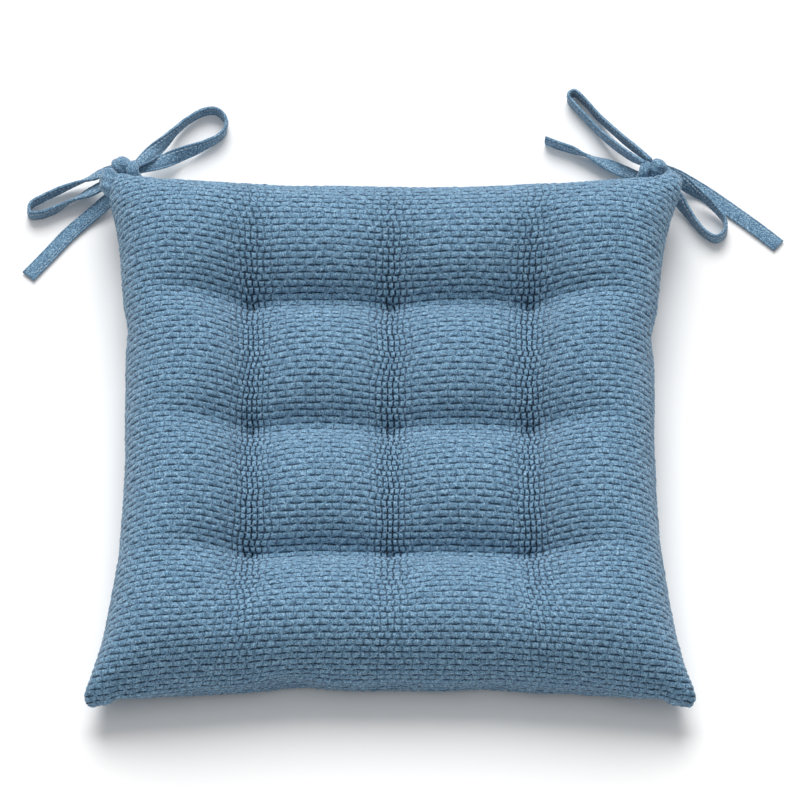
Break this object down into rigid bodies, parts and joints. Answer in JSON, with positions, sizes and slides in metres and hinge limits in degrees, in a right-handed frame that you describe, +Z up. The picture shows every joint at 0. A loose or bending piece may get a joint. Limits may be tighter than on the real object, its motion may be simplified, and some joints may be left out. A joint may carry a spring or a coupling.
{
  "type": "chair seat pad",
  "caption": "Square tufted chair seat pad in textured chenille, fibre filled, with fabric ties knotted in a bow at each back corner.",
  "frame": {"origin": "on the surface the pad lies on, under the middle of the pad's own box, ties left out", "axes": "+Z up through the pad's thickness; +Y towards the edge with the ties, -Y the front edge; +X to the right seen from the front"},
  "size_m": [0.5354, 0.4916, 0.0657],
  "materials": {
    "chenille": "raised brick-weave chenille, heathered mid blue, matt with a soft sheen",
    "strap_cloth": "the same chenille folded and top-stitched into flat straps",
    "thread": "twisted polyester sewing thread",
    "filling": "white hollow polyester fibre"
  },
  "bodies": {
    "root": {"top_panel": "chenille", "bottom_panel": "chenille", "fibre_filling": "filling", "edge_seam_thread": "thread", "closing_seam_thread": "thread", "tuft_stitch_r1_c1": "thread", "tuft_stitch_r1_c2": "thread", "tuft_stitch_r1_c3": "thread", "tuft_stitch_r2_c1": "thread", "tuft_stitch_r2_c2": "thread", "tuft_stitch_r2_c3": "thread", "tuft_stitch_r3_c1": "thread", "tuft_stitch_r3_c2": "thread", "tuft_stitch_r3_c3": "thread", "left_tie_root": "strap_cloth", "left_tie_knot": "strap_cloth", "left_tie_loop_back": "strap_cloth", "left_tie_loop_side": "strap_cloth", "left_tie_tail_front": "strap_cloth", "left_tie_tail_under": "strap_cloth", "right_tie_root": "strap_cloth", "right_tie_knot": "strap_cloth", "right_tie_loop_back": "strap_cloth", "right_tie_loop_side": "strap_cloth", "right_tie_tail_side": "strap_cloth", "right_tie_tail_back": "strap_cloth"}
  },
  "joints": []
}
